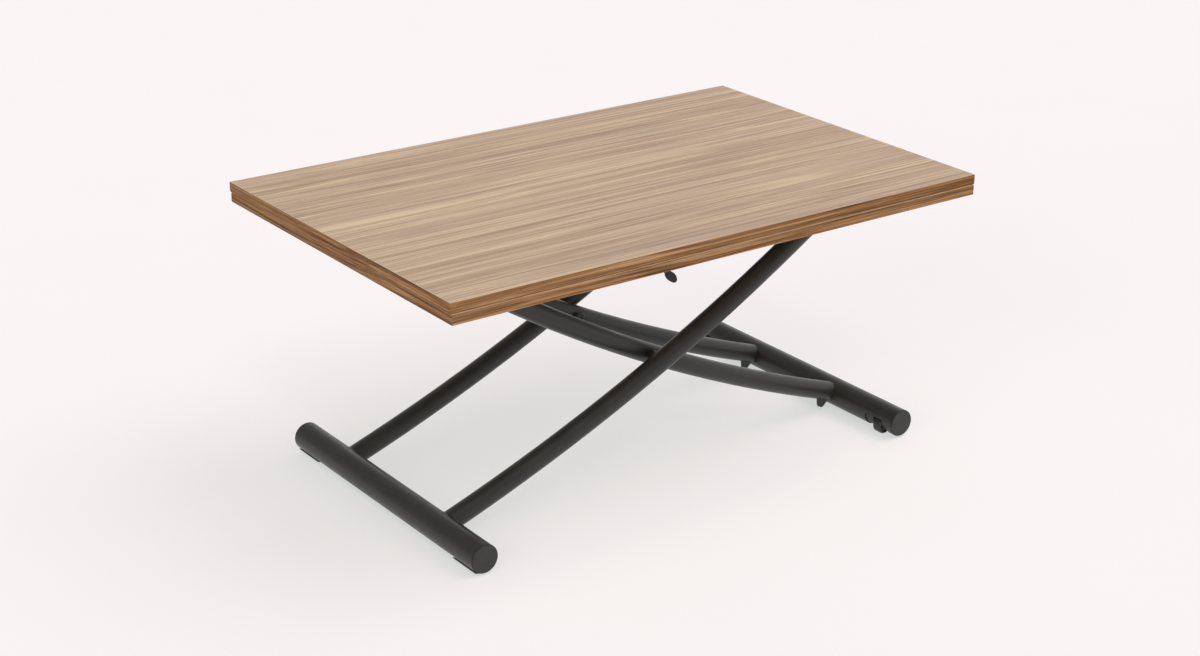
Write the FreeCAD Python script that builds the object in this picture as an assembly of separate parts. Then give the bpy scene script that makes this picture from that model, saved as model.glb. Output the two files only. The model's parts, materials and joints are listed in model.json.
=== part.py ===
"""Convertible coffee and dining table: scissor base, sliding top and a leaf that folds open.

Millimetres. X runs along the top, Y across it with the front on the -Y side, Z up from the floor.
The origin is on the floor under the middle of the top. Front pieces lie at -Y, rear pieces at +Y.
"""
import FreeCAD
import Part
import math
import os

V = FreeCAD.Vector
SIDES = {"front": -1, "rear": 1}
ENDS = (-1, 1)

# Top: two leaves of equal thickness, stacked
TOP_LENGTH = 1100.0
TOP_DEPTH = 700.0
TOP_HEIGHT = 512.0
LEAF_THICKNESS = 18.0
LEAF_GAP = 0.4
END_SETBACK = 2.0
FRONT_SETBACK = 1.6
BAND_THICKNESS = 1.0
ARRIS_RADIUS = 0.7

# Flush link hinges between the leaves
HINGE_SPACING = 400.0
HINGE_COUNT = 3
HINGE_LENGTH = 46.0
HINGE_DEPTH = 16.0
HINGE_HEIGHT = 12.0
HINGE_PIN_INSET = 4.5
HINGE_PIN_RADIUS = 2.0
HINGE_PIN_LENGTH = 34.0
LINK_EYE_RADIUS = 4.2
LINK_WIDTH = 12.0
LINK_SIDE_GAP = 0.3
HINGE_CHAMFER = 3.0
EDGE_GAP = 0.4

# Cross rails and the shoes that slide in them
RAIL_SPACING = 500.0
RAIL_LENGTH = 560.0
RAIL_WIDTH = 30.0
RAIL_HEIGHT = 18.0
RAIL_WALL = 2.0
RAIL_SLOT = 12.0
RAIL_CLEARANCE = 0.4
RAIL_CAP = 3.0
RAIL_PLUG = 5.0
SHOE_LENGTH = 30.0
SHOE_CLEARANCE = 0.1
SHOE_STOP_GAP = 2.0
SLIDE_TRAVEL = TOP_DEPTH / 2

# Beams of the sub-frame: channels that open outwards
BEAM_INNER_Y = 62.0
BEAM_DEPTH = 30.0
BEAM_HEIGHT = 31.0
BEAM_WALL = 2.0
BEAM_OVERHANG = 14.0
TIE_WIDTH = 12.0

# Foot bars, with the shift of the whole base to the right of the top's middle
BASE_SHIFT = 9.0
BAR_SPACING = 923.0
BAR_LENGTH = 581.0
BAR_RADIUS = 25.5
BAR_WALL = 2.0
CAP_FLANGE = 1.8
CAP_INSET = 0.8
CAP_PLUG = 12.0
CAP_CHAMFER = 0.5

# Glides under the fixed bar
GLIDE_HEIGHT = 3.2
GLIDE_LENGTH = 64.0
GLIDE_WIDTH = 36.0
GLIDE_WALL = 2.6
GLIDE_TAPER = 6.0
GLIDE_END_GAP = 4.0
SEAT_WIDTH = 24.0
SEAT_RELIEF = 0.7
SOLE_WIDTH = 12.0
STEM_RADIUS = 4.0
STEM_HEAD_RADIUS = 7.0
STEM_HEAD_HEIGHT = 3.0
STEM_CLEARANCE = 0.4

# Legs: round tube on a circular arc
LEG_RADIUS = 18.0
LEG_WALL = 2.0
LEG_CURVE = 3600.0
LEG_FOOT_SLOPE = 18.42
OUTER_LEG_Y = 155.0
INNER_LEG_Y = 112.0
EYE_LENGTH = 24.0
EYE_RADIUS = 13.5
EYE_THICKNESS = 10.0
EYE_PLUG = 25.0

# Plug joint between the inner legs and the wheel bar
SPIGOT_GAP = 2.5
SPIGOT_LENGTH = 60.0
COLLAR_INSET = 0.8
TUBE_ROUND = 1.0
KNOB_OFFSET = 32.0
KNOB_RADIUS = 12.5
KNOB_TIP_RADIUS = 5.5
KNOB_SEAT = 5.5
KNOB_HEIGHT = 15.0
KNOB_ROUND = 4.5
KNOB_SCREW_RADIUS = 3.0
KNOB_SCREW_DEPTH = 8.0

# Wheels in the wheel bar
WHEEL_RADIUS = 16.0
WHEEL_INSET = 11.0
WHEEL_SHIFT = 4.0
WHEEL_WIDTH = 20.0
WHEEL_CHAMFER = 3.0
WHEEL_RECESS = 3.0
WHEEL_HUB_RADIUS = 7.0
WHEEL_RIM = 3.5
AXLE_RADIUS = 3.0
POCKET_LENGTH = 56.0
POCKET_RISE = 3.0
POCKET_CORNER = 6.0
POCKET_END_GAP = 15.0
HOLDER_SHOULDER = 4.0
WHEEL_CLEARANCE = 2.0

# Crossing pivot
CROSS_PIN_RADIUS = 5.0
CROSS_SLEEVE_RADIUS = 10.0
CROSS_HEAD_RADIUS = 11.0
CROSS_HEAD_HEIGHT = 4.0
SLEEVE_PROUD = 2.0
BOSS_WALL_GAP = 4.0

# Top pivots and the carriage
SHAFT_RADIUS = 6.0
SPACER_RADIUS = 9.0
CLIP_RADIUS = 10.0
CLIP_THICKNESS = 2.0
SHAFT_END = 2.5
BLOCK_LENGTH = 44.0
LIFT_DOWN = 8.4
LIFT_UP = 18.8

# Gas spring
CYLINDER_RADIUS = 14.0
CYLINDER_WALL = 2.0
CYLINDER_END = 5.0
CYLINDER_STANDOFF = 18.0
GLAND_LENGTH = 14.0
PISTON_LENGTH = 10.0
PISTON_MARGIN = 2.0
ROD_RADIUS = 5.0
ROD_NUT_RADIUS = 9.0
ROD_NUT_LENGTH = 5.0
SPRING_EYE_RADIUS = 12.0
SPRING_EYE_WIDTH = 22.0
STUD_RADIUS = 6.0

# Release lever
LEVER_SHAFT_RADIUS = 5.0
LEVER_SHAFT_RISE = 24.0
LEVER_FROM_TIE = 15.0
LEVER_INSET = 40.0
LEVER_THICKNESS = 8.0
LEVER_HUB_RADIUS = 7.0
PADDLE_REACH = 14.8
PADDLE_DROP = 18.9
PADDLE_TILT = -46.0
PADDLE_LONG = 14.1
PADDLE_SHORT = 7.1
PADDLE_NECK = 9.0
PADDLE_CHAMFER = 1.2
NOSE_RADIUS = 4.0
NOSE_GAP = 0.2
ARM_THICKNESS = 8.0
ARM_WIDTH = 8.0
RELEASE_PIN_RADIUS = 1.5
RELEASE_PIN_LENGTH = 20.0
RELEASE_PIN_PROUD = 5.0
BEARING_LENGTH = 28.0
BEARING_TOP_GAP = 1.2

# Clearances
FIT = 0.05
SLIP = 0.1
FACE_GAP = 0.2

# Heights worked out from the top downwards
UNDERSIDE = TOP_HEIGHT - 2 * LEAF_THICKNESS - LEAF_GAP
SEAM_Z = TOP_HEIGHT - LEAF_THICKNESS - LEAF_GAP / 2
RAIL_TOP = UNDERSIDE - RAIL_CLEARANCE
RAIL_BOTTOM = RAIL_TOP - RAIL_HEIGHT
BEAM_BOTTOM = RAIL_BOTTOM - BEAM_HEIGHT
PIVOT_Z = RAIL_BOTTOM - BEAM_HEIGHT / 2
BEAM_OUTER_Y = BEAM_INNER_Y + BEAM_DEPTH

# Leg arc of the outer legs, from the fixed bar up to the right
BAR_Z = GLIDE_HEIGHT + BAR_RADIUS
BAR_X = BAR_SPACING / 2
FOOT_ANGLE = math.radians(LEG_FOOT_SLOPE)
ARC_X = -BAR_X - LEG_CURVE * math.sin(FOOT_ANGLE)
ARC_Z = BAR_Z + LEG_CURVE * math.cos(FOOT_ANGLE)
TOP_ANGLE = math.acos((ARC_Z - PIVOT_Z) / LEG_CURVE)
CROSS_ANGLE = math.asin(-ARC_X / LEG_CURVE)
PIVOT_X = ARC_X + LEG_CURVE * math.sin(TOP_ANGLE)
CROSS_Z = ARC_Z - LEG_CURVE * math.cos(CROSS_ANGLE)
ARM_LENGTH = math.hypot(PIVOT_X, PIVOT_Z - CROSS_Z)
ARM_SLOPE = math.atan2(PIVOT_Z - CROSS_Z, PIVOT_X)


def carriage_x(lift):
    """X of the sliding pivot in the sub-frame when the outer legs are lifted by so many degrees."""
    return 2 * ARM_LENGTH * math.cos(ARM_SLOPE + math.radians(lift)) - PIVOT_X


CARRIAGE_OUT = carriage_x(-LIFT_DOWN)
CARRIAGE_IN = carriage_x(LIFT_UP)

# Gas spring, laid out from the carriage's travel
CYLINDER_LENGTH = (CARRIAGE_OUT - CARRIAGE_IN + GLAND_LENGTH + PISTON_LENGTH + CYLINDER_END
                   + 2 * PISTON_MARGIN)
CYLINDER_RIGHT = PIVOT_X - CYLINDER_STANDOFF
CYLINDER_LEFT = CYLINDER_RIGHT - CYLINDER_LENGTH
PISTON_LEFT = (CARRIAGE_OUT - CYLINDER_STANDOFF - CYLINDER_LENGTH + GLAND_LENGTH + PISTON_MARGIN)
TIE_X = CARRIAGE_IN - CYLINDER_STANDOFF - CYLINDER_LENGTH - ROD_NUT_LENGTH - PISTON_MARGIN - TIE_WIDTH
ROD_LEFT = TIE_X - ROD_NUT_LENGTH - PISTON_MARGIN
LEVER_X = TIE_X - LEVER_FROM_TIE
LEVER_Z = PIVOT_Z + LEVER_SHAFT_RISE


def box(x, y, z):
    """Block between the low and high ends given for each axis."""
    return Part.makeBox(x[1] - x[0], y[1] - y[0], z[1] - z[0], V(x[0], y[0], z[0]))


def rod_x(x, y, z, radius):
    return Part.makeCylinder(radius, x[1] - x[0], V(x[0], y, z), V(1, 0, 0))


def rod_y(x, y, z, radius):
    return Part.makeCylinder(radius, y[1] - y[0], V(x, y[0], z), V(0, 1, 0))


def rod_z(x, y, z, radius):
    return Part.makeCylinder(radius, z[1] - z[0], V(x, y, z[0]), V(0, 0, 1))


def across(side, near, far):
    """Low and high Y of a stretch given by its distances from the middle, on one side."""
    return tuple(sorted((side * near, side * far)))


def about(middle, length):
    return (middle - length / 2, middle + length / 2)


def flipped_x(shape):
    return shape.mirror(V(0, 0, 0), V(1, 0, 0))


def flipped_y(shape):
    return shape.mirror(V(0, 0, 0), V(0, 1, 0))


def pair(shape):
    """The piece and its mirror image on the other side of the table."""
    return Part.makeCompound([shape, flipped_y(shape)])


def save(node, shape):
    solids = shape.Solids
    body = solids[0] if len(solids) == 1 else Part.makeCompound(solids)
    body.exportStep(f"parts/{node}.step")


def save_shifted(node, shape):
    """Write a piece that stands with the base, to the right of the top's middle."""
    moved = shape.copy()
    moved.translate(V(BASE_SHIFT, 0, 0))
    save(node, moved)


def arc_point(angle):
    """Point (x, z) of the outer legs' centre line."""
    return (ARC_X + LEG_CURVE * math.sin(angle), ARC_Z - LEG_CURVE * math.cos(angle))


def arc_bar(y, start, end, radius, bore=0.0):
    """Round bar or tube along the leg's arc between two angles."""
    x, z = arc_point(start)
    along = V(math.cos(start), 0, math.sin(start))
    disc = Part.Face(Part.Wire(Part.makeCircle(radius, V(x, y, z), along)))
    if bore:
        disc = disc.cut(Part.Face(Part.Wire(Part.makeCircle(bore, V(x, y, z), along))))
    return disc.revolve(V(ARC_X, y, ARC_Z), V(0, -1, 0), math.degrees(end - start)).Solids[0]


def leg_tube(y, start):
    """Leg from the given arc angle up to where its eye begins."""
    end = TOP_ANGLE - EYE_LENGTH / LEG_CURVE
    return arc_bar(y, start, end, LEG_RADIUS, LEG_RADIUS - LEG_WALL)


def leg_eye(y):
    """Plugged end fitting of a leg: a round plug in the tube and a flat eye on the pivot."""
    tube_end = TOP_ANGLE - EYE_LENGTH / LEG_CURVE
    plug = arc_bar(y, tube_end - EYE_PLUG / LEG_CURVE, tube_end, LEG_RADIUS - LEG_WALL)
    flat = about(y, EYE_THICKNESS)
    eye = rod_y(PIVOT_X, flat, PIVOT_Z, EYE_RADIUS)
    shank = box((-EYE_LENGTH - EYE_PLUG / 2, 0), flat, (-EYE_RADIUS, EYE_RADIUS))
    shank.rotate(V(0, 0, 0), V(0, -1, 0), math.degrees(TOP_ANGLE))
    shank.translate(V(PIVOT_X, 0, PIVOT_Z))
    return plug.fuse([eye, shank]).removeSplitter().cut(rod_y(PIVOT_X, flat, PIVOT_Z, SHAFT_RADIUS + FIT))


def bar_solid(x):
    return rod_y(x, (-BAR_LENGTH / 2, BAR_LENGTH / 2), BAR_Z, BAR_RADIUS)


def bar_tube(x):
    half = BAR_LENGTH / 2 - CAP_FLANGE
    tube = rod_y(x, (-half, half), BAR_Z, BAR_RADIUS)
    return tube.cut(rod_y(x, (-half, half), BAR_Z, BAR_RADIUS - BAR_WALL))


def bar_caps(x):
    """End caps: a disc a little smaller than the bar, with a broken edge, and a plug in the tube."""
    outer = BAR_LENGTH / 2
    inner = outer - CAP_FLANGE
    disc = rod_y(x, (inner, outer), BAR_Z, BAR_RADIUS - CAP_INSET)
    rim = [edge for edge in disc.Edges if edge.CenterOfMass.y > outer - FIT]
    disc = disc.makeChamfer(CAP_CHAMFER, rim)
    bore = BAR_RADIUS - BAR_WALL
    plug = rod_y(x, (inner - CAP_PLUG, inner), BAR_Z, bore).cut(
        rod_y(x, (inner - CAP_PLUG, inner), BAR_Z, bore - BAR_WALL))
    return pair(disc.fuse(plug).removeSplitter())


GLIDE_Y = BAR_LENGTH / 2 - GLIDE_END_GAP - GLIDE_LENGTH / 2
STEM_TOP = BAR_Z - math.sqrt((BAR_RADIUS - BAR_WALL) ** 2 - STEM_HEAD_RADIUS ** 2) + STEM_CLEARANCE


def glide_envelope(y):
    """Prism along X that gives a glide its length and its sloping ends."""
    half = GLIDE_LENGTH / 2
    outline = [(-half + GLIDE_TAPER, 0), (half - GLIDE_TAPER, 0), (half, GLIDE_HEIGHT + GLIDE_TAPER / 2),
               (half, BAR_Z), (-half, BAR_Z), (-half, GLIDE_HEIGHT + GLIDE_TAPER / 2)]
    points = [V(-BAR_X - GLIDE_WIDTH / 2, y + a, b) for a, b in outline]
    return Part.Face(Part.makePolygon(points + points[:1])).extrude(V(GLIDE_WIDTH, 0, 0))


def glide_saddle(y):
    """Shell around the underside of the bar on a narrow sole; its edges stand a little off the bar."""
    run = about(y, GLIDE_LENGTH)
    shell = rod_y(-BAR_X, run, BAR_Z, BAR_RADIUS + GLIDE_WALL)
    sole = box(about(-BAR_X, SOLE_WIDTH), run, (0, GLIDE_HEIGHT))
    relief = rod_y(-BAR_X, run, BAR_Z, BAR_RADIUS + SEAT_RELIEF).cut(
        box(about(-BAR_X, SEAT_WIDTH), run, (0, BAR_Z)))
    whole = shell.fuse(sole).cut([relief, rod_y(-BAR_X, run, BAR_Z, BAR_RADIUS + FIT)])
    return whole.common(glide_envelope(y))


def glide(side):
    """Saddle glide that the fixed bar turns in, held by a headed stem through the bar's wall."""
    y = side * GLIDE_Y
    pad = glide_saddle(y)
    stem = rod_z(-BAR_X, y, (GLIDE_HEIGHT / 2, STEM_TOP), STEM_RADIUS)
    head = rod_z(-BAR_X, y, (STEM_TOP, STEM_TOP + STEM_HEAD_HEIGHT), STEM_HEAD_RADIUS)
    return pad.fuse([stem, head]).removeSplitter()


def stem_slot(side):
    """Slot in the bar's wall that lets the bar turn around the glide's stem."""
    width = 2 * (STEM_RADIUS + STEM_CLEARANCE)
    margin = math.degrees((STEM_RADIUS + STEM_CLEARANCE) / (BAR_RADIUS - BAR_WALL))
    face = box((BAR_RADIUS - 2 * BAR_WALL, BAR_RADIUS + BAR_WALL), about(side * GLIDE_Y, width), (0, 1)).Faces
    flat = [f for f in face if abs(f.normalAt(0, 0).z) > 0.9 and f.CenterOfMass.z < 0.5][0]
    sweep = LIFT_UP + LIFT_DOWN + 2 * margin
    slot = flat.revolve(V(0, 0, 0), V(0, -1, 0), sweep)
    slot.rotate(V(0, 0, 0), V(0, -1, 0), -90 - LIFT_UP - margin)
    slot.translate(V(-BAR_X, 0, BAR_Z))
    return slot


def fixed_bar():
    return bar_tube(-BAR_X).cut([stem_slot(side) for side in SIDES.values()])


SLEEVE_FACE_Y = INNER_LEG_Y + LEG_RADIUS + SLEEVE_PROUD
BOSS_FACE_Y = SLEEVE_FACE_Y + FACE_GAP
BOSS_END_Y = OUTER_LEG_Y + LEG_RADIUS - BOSS_WALL_GAP
SLEEVE_INNER_Y = INNER_LEG_Y - LEG_RADIUS - SLEEVE_PROUD


def cross_hole(side, radius, near, far):
    return rod_y(0, across(side, near, far), CROSS_Z, radius)


def outer_leg(side):
    leg = leg_tube(side * OUTER_LEG_Y, FOOT_ANGLE)
    return leg.cut([bar_solid(-BAR_X), cross_hole(side, CROSS_SLEEVE_RADIUS, BOSS_FACE_Y, BOSS_END_Y)])


def cross_boss():
    """Threaded boss let into the inner wall of an outer leg."""
    boss = cross_hole(1, CROSS_SLEEVE_RADIUS, BOSS_FACE_Y, BOSS_END_Y)
    return boss.cut(cross_hole(1, CROSS_PIN_RADIUS, BOSS_FACE_Y, BOSS_END_Y - BOSS_WALL_GAP))


def cross_bolt():
    """Shoulder bolt of the crossing, screwed into the boss from the middle of the table."""
    head_face = SLEEVE_INNER_Y - FACE_GAP
    shank = cross_hole(1, CROSS_PIN_RADIUS, head_face, BOSS_END_Y - BOSS_WALL_GAP)
    head = cross_hole(1, CROSS_HEAD_RADIUS, head_face - CROSS_HEAD_HEIGHT, head_face)
    return shank.fuse(head).removeSplitter()


def cross_sleeve():
    """Bush through an inner leg that turns on the shoulder bolt."""
    sleeve = cross_hole(1, CROSS_SLEEVE_RADIUS, SLEEVE_INNER_Y, SLEEVE_FACE_Y)
    return sleeve.cut(cross_hole(1, CROSS_PIN_RADIUS + FIT, SLEEVE_INNER_Y, SLEEVE_FACE_Y))


KNOB_ANGLE = FOOT_ANGLE + KNOB_OFFSET / LEG_CURVE


def knob_bar(side, near, far, radius, tip=None):
    """Round or tapered bar at the knob of an inner leg, between two distances below its centre line."""
    x, z = arc_point(KNOB_ANGLE)
    down = V(math.sin(KNOB_ANGLE), 0, -math.cos(KNOB_ANGLE))
    start = V(x, side * INNER_LEG_Y, z) + down * near
    if tip is None:
        return Part.makeCylinder(radius, far - near, start, down)
    return Part.makeCone(radius, tip, far - near, start, down)


def bar_saddle():
    """Space around the bar that the end of an inner leg is hollowed to."""
    return rod_y(-BAR_X, (-BAR_LENGTH / 2, BAR_LENGTH / 2), BAR_Z, BAR_RADIUS + SPIGOT_GAP)


def inner_leg(side):
    """Inner leg: its lower end follows the wheel bar and has a rounded rim."""
    tube = leg_tube(side * INNER_LEG_Y, FOOT_ANGLE).cut(bar_saddle())
    rim = max((e for e in tube.Edges if e.CenterOfMass.x < 0 and e.Closed), key=lambda e: e.Length)
    tube = tube.makeFillet(TUBE_ROUND, [rim])
    tube = flipped_x(tube.cut(knob_bar(side, 0, LEG_RADIUS, KNOB_SCREW_RADIUS)))
    return tube.cut(cross_hole(side, CROSS_SLEEVE_RADIUS, SLEEVE_INNER_Y, SLEEVE_FACE_Y))


def spigot():
    """Stub on the wheel bar that an inner leg plugs on to, with a collar in the gap between them."""
    end = FOOT_ANGLE + (BAR_RADIUS + SPIGOT_GAP + SPIGOT_LENGTH) / LEG_CURVE
    stub = arc_bar(INNER_LEG_Y, FOOT_ANGLE, end, LEG_RADIUS - LEG_WALL - SLIP)
    inner = LEG_RADIUS - LEG_WALL - KNOB_SCREW_DEPTH
    stub = stub.cut(knob_bar(1, inner, LEG_RADIUS, KNOB_SCREW_RADIUS))
    collar = arc_bar(INNER_LEG_Y, FOOT_ANGLE, end, LEG_RADIUS - COLLAR_INSET).common(bar_saddle())
    return flipped_x(stub.fuse(collar).cut(bar_solid(-BAR_X)))


def lock_knob(side):
    """Tapered knob under an inner leg, with the screw that holds the leg on its spigot."""
    base = knob_bar(side, LEG_RADIUS - KNOB_SEAT, LEG_RADIUS + KNOB_HEIGHT, KNOB_RADIUS, KNOB_TIP_RADIUS)
    low = min(base.Edges, key=lambda edge: edge.CenterOfMass.z)
    head = base.makeFillet(KNOB_ROUND, [low])
    ahead = 2 * KNOB_RADIUS / LEG_CURVE
    head = head.cut(arc_bar(side * INNER_LEG_Y, KNOB_ANGLE - ahead, KNOB_ANGLE + ahead, LEG_RADIUS))
    screw = knob_bar(side, LEG_RADIUS - LEG_WALL - KNOB_SCREW_DEPTH, LEG_RADIUS + FIT, KNOB_SCREW_RADIUS)
    return flipped_x(head.fuse(screw).removeSplitter())


POCKET_Y = BAR_LENGTH / 2 - POCKET_END_GAP - POCKET_LENGTH / 2
WHEEL_X = BAR_X - WHEEL_INSET
WHEEL_Y = POCKET_Y + WHEEL_SHIFT


def wheel_pocket(side):
    """Cut that opens the underside of the wheel bar, with rounded upper corners."""
    roof = BAR_Z + POCKET_RISE
    cut = box(about(BAR_X, 4 * BAR_RADIUS), about(side * POCKET_Y, POCKET_LENGTH), (-BAR_RADIUS, roof))
    upper = [e for e in cut.Edges if e.CenterOfMass.z > roof - FIT
             and abs(e.tangentAt(e.FirstParameter).x) > 0.9]
    return cut.makeFillet(POCKET_CORNER, upper)


def wheel_bar():
    return bar_tube(BAR_X).cut([wheel_pocket(side) for side in SIDES.values()])


def wheel_holder(side):
    """Moulded insert in the wheel bar with two cheeks for the axle."""
    y = side * WHEEL_Y
    length = POCKET_LENGTH - 2 * SLIP
    body = rod_y(BAR_X, about(side * POCKET_Y, length), BAR_Z, BAR_RADIUS - BAR_WALL - SLIP)
    well = box(about(WHEEL_X, 2 * (WHEEL_RADIUS + WHEEL_CLEARANCE)), about(y, WHEEL_WIDTH + WHEEL_CLEARANCE),
               (0, 2 * WHEEL_RADIUS + WHEEL_CLEARANCE))
    return body.cut([well, wheel_rod(axle_span(y), AXLE_RADIUS)])


def wheel_rod(y_range, radius):
    """Round bar on the axis of a wheel."""
    return rod_y(WHEEL_X, y_range, WHEEL_RADIUS, radius)


def axle_span(y):
    return about(y, WHEEL_WIDTH + WHEEL_CLEARANCE + 2 * HOLDER_SHOULDER)


def wheel(side):
    """Small solid wheel with a bevelled tread, a hub and a recess in each face."""
    y = side * WHEEL_Y
    width = about(y, WHEEL_WIDTH)
    tyre = wheel_rod(width, WHEEL_RADIUS)
    tyre = tyre.makeChamfer(WHEEL_CHAMFER, [e for e in tyre.Edges if e.Closed])
    for face in width:
        inward = math.copysign(WHEEL_RECESS, y - face)
        depth = tuple(sorted((face, face + inward)))
        ring = wheel_rod(depth, WHEEL_RADIUS - WHEEL_RIM)
        tyre = tyre.cut(ring.cut(wheel_rod(depth, WHEEL_HUB_RADIUS)))
    return tyre.cut(wheel_rod(width, AXLE_RADIUS + FIT))


def channel_slot(x_from, x_to):
    """Slot through both beam webs for a shaft that runs from one place to another."""
    height = SHAFT_RADIUS + FACE_GAP
    reach = (-BEAM_INNER_Y - BEAM_WALL, BEAM_INNER_Y + BEAM_WALL)
    slot = box((x_from, x_to), reach, (PIVOT_Z - height, PIVOT_Z + height))
    return slot.fuse([rod_y(x, reach, PIVOT_Z, height) for x in (x_from, x_to)])


BEAM_X = (-PIVOT_X - BLOCK_LENGTH / 2 - BEAM_OVERHANG,
          CARRIAGE_OUT + BLOCK_LENGTH / 2 + BEAM_OVERHANG)


def beam(side):
    """Channel beam under the cross rails, open on its outer side."""
    outer = box(BEAM_X, across(side, BEAM_INNER_Y, BEAM_OUTER_Y), (BEAM_BOTTOM, RAIL_BOTTOM))
    hollow = box(BEAM_X, across(side, BEAM_INNER_Y + BEAM_WALL, BEAM_OUTER_Y),
                 (BEAM_BOTTOM + BEAM_WALL, RAIL_BOTTOM - BEAM_WALL))
    pivot_hole = rod_y(-PIVOT_X, across(side, 0, BEAM_OUTER_Y), PIVOT_Z, SHAFT_RADIUS)
    return outer.cut([hollow, pivot_hole, channel_slot(CARRIAGE_IN, CARRIAGE_OUT)])


def channel_block(x, gap):
    """Block that fills a beam's channel around a shaft."""
    block = box(about(x, BLOCK_LENGTH), (BEAM_INNER_Y + BEAM_WALL + gap, BEAM_OUTER_Y - gap),
                (BEAM_BOTTOM + BEAM_WALL + gap, RAIL_BOTTOM - BEAM_WALL - gap))
    return block.cut(rod_y(x, (0, BEAM_OUTER_Y), PIVOT_Z, SHAFT_RADIUS))


def cross_tie(x):
    """Bar between the two beams."""
    return box((x, x + TIE_WIDTH), (-BEAM_INNER_Y, BEAM_INNER_Y),
               (BEAM_BOTTOM + BEAM_WALL, RAIL_BOTTOM - BEAM_WALL))


def spring_tie():
    return cross_tie(TIE_X).cut(rod_x((TIE_X, TIE_X + TIE_WIDTH), 0, PIVOT_Z, ROD_RADIUS))


def shaft_half_length(leg_y):
    return leg_y + EYE_THICKNESS / 2 + FACE_GAP + CLIP_THICKNESS + SHAFT_END


def cross_shaft(x, leg_y):
    reach = shaft_half_length(leg_y)
    return rod_y(x, (-reach, reach), PIVOT_Z, SHAFT_RADIUS)


def shaft_ring(x, near, far, radius):
    ring = rod_y(x, (near, far), PIVOT_Z, radius)
    return ring.cut(rod_y(x, (near, far), PIVOT_Z, SHAFT_RADIUS))


def shaft_spacers(x, leg_y, start):
    """Tubes that keep the leg eyes at their distance from the beams."""
    return pair(shaft_ring(x, start, leg_y - EYE_THICKNESS / 2 - FACE_GAP, SPACER_RADIUS))


def shaft_clips(x, leg_y):
    face = leg_y + EYE_THICKNESS / 2 + FACE_GAP
    return pair(shaft_ring(x, face, face + CLIP_THICKNESS, CLIP_RADIUS))


def gas_cylinder():
    """Pressure tube with its gland at the left and a closed right end."""
    tube = rod_x((CYLINDER_LEFT, CYLINDER_RIGHT), 0, PIVOT_Z, CYLINDER_RADIUS)
    bore = rod_x((CYLINDER_LEFT + GLAND_LENGTH, CYLINDER_RIGHT - CYLINDER_END), 0, PIVOT_Z,
                 CYLINDER_RADIUS - CYLINDER_WALL)
    gland = rod_x((CYLINDER_LEFT, CYLINDER_LEFT + GLAND_LENGTH), 0, PIVOT_Z, ROD_RADIUS + FIT)
    return tube.cut([bore, gland])


def gas_rod():
    """Piston rod, drilled at its left end for the release pin, with its piston."""
    rod = rod_x((ROD_LEFT, PISTON_LEFT + PISTON_LENGTH), 0, PIVOT_Z, ROD_RADIUS)
    piston = rod_x((PISTON_LEFT, PISTON_LEFT + PISTON_LENGTH), 0, PIVOT_Z,
                   CYLINDER_RADIUS - CYLINDER_WALL - FIT)
    drill = rod_x((ROD_LEFT, ROD_LEFT + RELEASE_PIN_LENGTH), 0, PIVOT_Z, RELEASE_PIN_RADIUS + FIT)
    return rod.fuse(piston).removeSplitter().cut(drill)


def hex_nut(x):
    """Hexagon nut on the rod, along X."""
    flat = Part.makePolygon([V(x, ROD_NUT_RADIUS * math.cos(math.radians(60 * i)),
                               PIVOT_Z + ROD_NUT_RADIUS * math.sin(math.radians(60 * i))) for i in range(7)])
    nut = Part.Face(flat).extrude(V(ROD_NUT_LENGTH, 0, 0))
    return nut.cut(rod_x((x, x + ROD_NUT_LENGTH), 0, PIVOT_Z, ROD_RADIUS))


def rod_nuts():
    return Part.makeCompound([hex_nut(TIE_X - ROD_NUT_LENGTH), hex_nut(TIE_X + TIE_WIDTH)])


def spring_eye():
    """Eye on the carriage shaft with the stud of the gas spring's cylinder."""
    eye = rod_y(PIVOT_X, about(0, SPRING_EYE_WIDTH), PIVOT_Z, SPRING_EYE_RADIUS)
    stud = rod_x((CYLINDER_RIGHT, PIVOT_X), 0, PIVOT_Z, STUD_RADIUS)
    hole = rod_y(PIVOT_X, about(0, SPRING_EYE_WIDTH), PIVOT_Z, SHAFT_RADIUS)
    return eye.fuse(stud).removeSplitter().cut(hole)


RAIL_X = RAIL_SPACING / 2
RAIL_END = RAIL_LENGTH / 2 - RAIL_CAP


def rail(x):
    """Lipped channel that the top slides along, open at its top."""
    run = (-RAIL_END, RAIL_END)
    outer = box(about(x, RAIL_WIDTH), run, (RAIL_BOTTOM, RAIL_TOP))
    hollow = box(about(x, RAIL_WIDTH - 2 * RAIL_WALL), run, (RAIL_BOTTOM + RAIL_WALL, RAIL_TOP - RAIL_WALL))
    return outer.cut([hollow, box(about(x, RAIL_SLOT), run, (RAIL_BOTTOM + RAIL_WALL, RAIL_TOP))])


def rail_cap(x):
    """Moulded end cap of a rail with its short plug."""
    plate = box(about(x, RAIL_WIDTH), (RAIL_END, RAIL_END + RAIL_CAP), (RAIL_BOTTOM, RAIL_TOP))
    plug = box(about(x, RAIL_WIDTH - 2 * RAIL_WALL), (RAIL_END - RAIL_PLUG, RAIL_END),
               (RAIL_BOTTOM + RAIL_WALL, RAIL_TOP - RAIL_WALL))
    return pair(plate.fuse(plug).removeSplitter())


def rail_caps():
    return Part.makeCompound([rail_cap(end * RAIL_X) for end in ENDS])


SHOE_REAR_Y = RAIL_END - RAIL_PLUG - SHOE_STOP_GAP - SHOE_LENGTH / 2
SHOE_FRONT_Y = SLIDE_TRAVEL - SHOE_REAR_Y


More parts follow.
